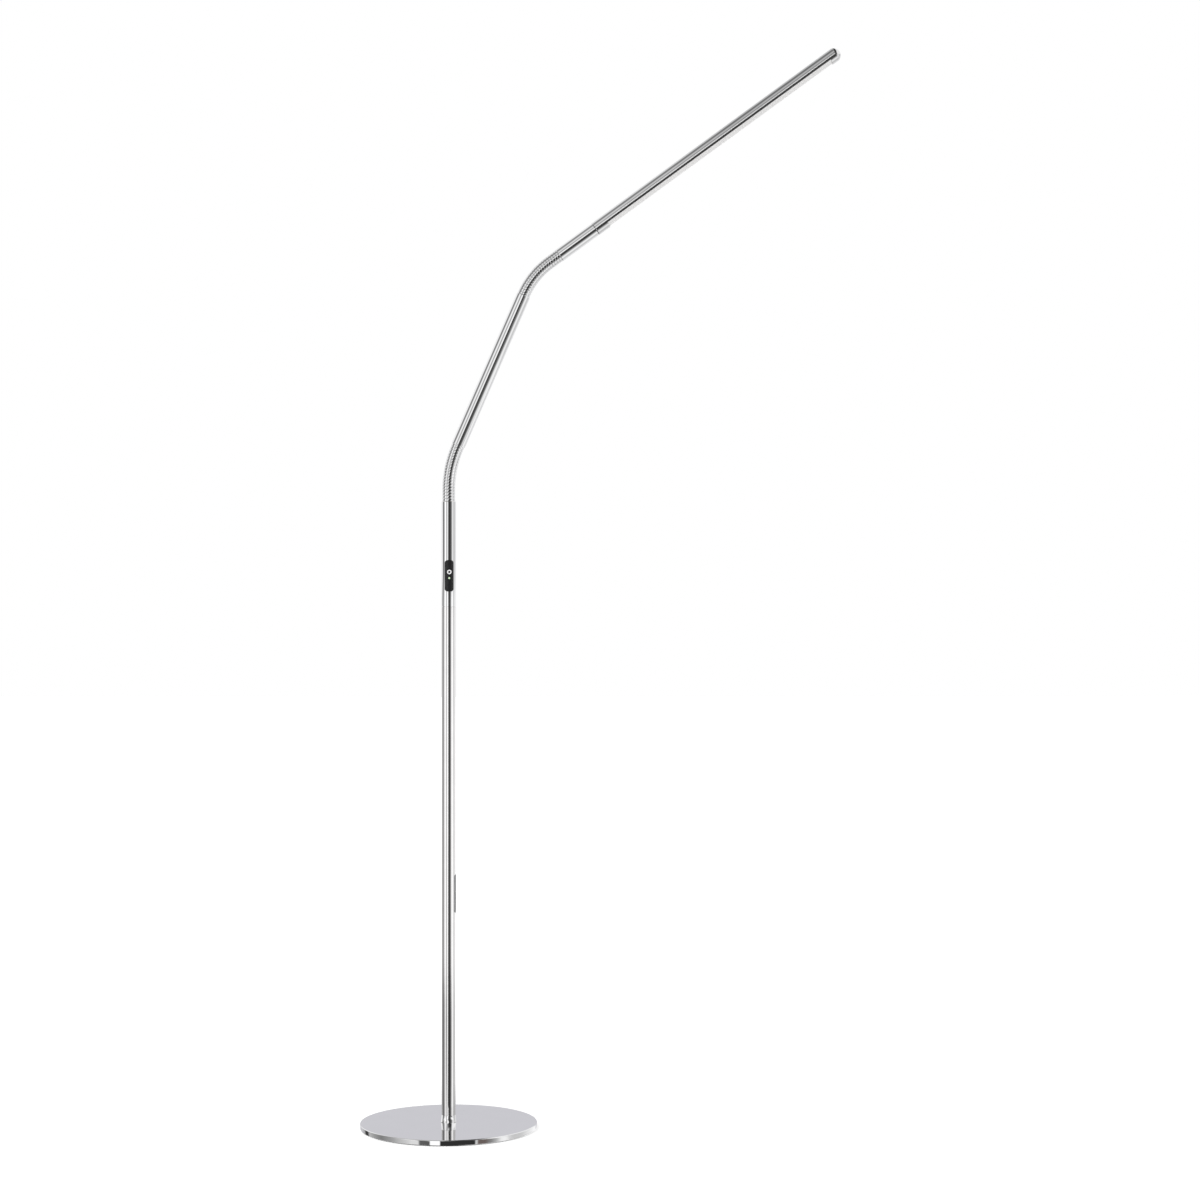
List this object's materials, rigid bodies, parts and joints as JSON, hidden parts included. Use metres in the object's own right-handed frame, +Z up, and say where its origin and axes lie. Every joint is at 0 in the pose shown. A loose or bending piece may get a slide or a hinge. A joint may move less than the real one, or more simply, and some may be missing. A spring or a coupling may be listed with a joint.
{
  "type": "floor lamp",
  "caption": "Slim polished floor lamp: disc base, straight pole with a control panel, bent goosenecks, an arm tube and a long tubular light head with a milky underside.",
  "frame": {"origin": "on the floor, on the pole's axis at the centre of the base", "axes": "+Z up along the pole, +X the way the arm leans, -Y the front with the control panel"},
  "size_m": [0.6389, 0.235, 1.4358],
  "materials": {
    "polished_metal": "polished",
    "head_metal": "fine brushed, bright",
    "hose_metal": "bright wound steel",
    "inner_steel": "turned",
    "inner_brass": "turned",
    "inner_aluminium": "mill finish",
    "black_plastic": "fine satin",
    "grey_plastic": "fine satin",
    "inner_plastic": "moulded",
    "white_plastic": "gloss",
    "green_lens": "clear, lit green",
    "circuit_board": "lacquered",
    "light_board": "white lacquer",
    "emitter": "clear resin over phosphor",
    "milky_cover": "opal, fine satin",
    "lead_sheath": "matt",
    "pad_rubber": "matt"
  },
  "bodies": {
    "stand": {"floor_pad": "pad_rubber", "base_plate": "polished_metal", "base_washer": "inner_steel", "base_bolt": "inner_steel", "pole_foot": "polished_metal", "lower_pole": "polished_metal", "inlet_panel": "grey_plastic", "inlet_carrier": "inner_plastic", "power_socket": "inner_plastic", "socket_pin": "inner_brass", "joint_spigot": "inner_steel", "joint_socket": "inner_steel", "upper_pole": "polished_metal", "control_panel": "black_plastic", "panel_carrier": "inner_plastic", "control_board": "circuit_board", "board_screws": "inner_steel", "tact_switch": "inner_plastic", "indicator_light": "green_lens", "indicator_lens": "green_lens", "pole_ferrule": "inner_brass", "lower_hose_1": "hose_metal", "supply_lead": "lead_sheath", "pole_lead": "lead_sheath"},
    "button": {"power_button": "black_plastic", "button_ring": "white_plastic"},
    "lower_link_1": {"lower_hose_2": "hose_metal", "lower_lead_2": "lead_sheath"},
    "lower_link_2": {"lower_hose_3": "hose_metal", "lower_lead_3": "lead_sheath"},
    "arm": {"lower_hose_4": "hose_metal", "arm_foot_ferrule": "inner_brass", "arm_tube": "polished_metal", "arm_top_ferrule": "inner_brass", "upper_hose_1": "hose_metal", "arm_lead": "lead_sheath"},
    "upper_link_1": {"upper_hose_2": "hose_metal", "upper_lead_2": "lead_sheath"},
    "upper_link_2": {"upper_hose_3": "hose_metal", "upper_lead_3": "lead_sheath"},
    "neck": {"upper_hose_4": "hose_metal", "neck_ferrule": "inner_brass", "neck_tube": "polished_metal", "neck_lead": "lead_sheath", "swivel_spigot": "inner_steel", "swivel_clip": "inner_steel"},
    "head": {"swivel_washer": "inner_plastic", "head_bush": "inner_brass", "head_tube": "head_metal", "end_cap": "head_metal", "light_carrier": "inner_aluminium", "light_board": "light_board", "light_emitters": "emitter", "light_cover": "milky_cover", "head_lead": "lead_sheath"}
  },
  "joints": [
    {"name": "lower_bend", "type": "hinge", "parent": "stand", "child": "lower_link_1", "pos_m": [0.00001, 0, 0.84901], "axis": [0, 1, 0], "range_deg": [-40, 27.5], "deforming": ["lower_hose_1", "lower_hose_2", "pole_lead", "lower_lead_2"]},
    {"name": "lower_sway", "type": "hinge", "parent": "lower_link_1", "child": "lower_link_2", "pos_m": [0.0016, 0, 0.86907], "axis": [0.9894, 0, -0.1453], "range_deg": [-45, 45], "deforming": ["lower_hose_3", "lower_lead_3"]},
    {"name": "lower_bend_end", "type": "hinge", "parent": "lower_link_2", "child": "arm", "pos_m": [0.00585, 0, 0.88874], "axis": [0, 1, 0], "range_deg": [-40, 27.5], "deforming": ["lower_hose_4", "arm_lead"]},
    {"name": "upper_bend", "type": "hinge", "parent": "arm", "child": "upper_link_1", "pos_m": [0.1062, 0, 1.12054], "axis": [0, 1, 0], "range_deg": [-40, 27.5], "deforming": ["upper_hose_1", "upper_hose_2", "upper_lead_2"]},
    {"name": "upper_sway", "type": "hinge", "parent": "upper_link_1", "child": "upper_link_2", "pos_m": [0.11759, 0, 1.13594], "axis": [0.7441, 0, -0.6681], "range_deg": [-45, 45], "deforming": ["upper_hose_3", "upper_lead_3"]},
    {"name": "upper_bend_end", "type": "hinge", "parent": "upper_link_2", "child": "neck", "pos_m": [0.13168, 0, 1.14892], "axis": [0, 1, 0], "range_deg": [-40, 27.5], "deforming": ["upper_hose_4", "neck_lead"]},
    {"name": "head_turn", "type": "hinge", "parent": "neck", "child": "head", "pos_m": [0.19492, 0, 1.19506], "axis": [0.808, 0, 0.5892], "range_deg": [-135, 135]},
    {"name": "button_press", "type": "slide", "parent": "stand", "child": "button", "axis": [-0.1392, 0.9903, 0], "range_m": [0, 0.0006], "stiffness_N_per_m": 2000}
  ],
  "couplings": [
    {"joint": "lower_bend_end", "follows": "lower_bend", "ratio": 1},
    {"joint": "upper_bend_end", "follows": "upper_bend", "ratio": 1}
  ]
}
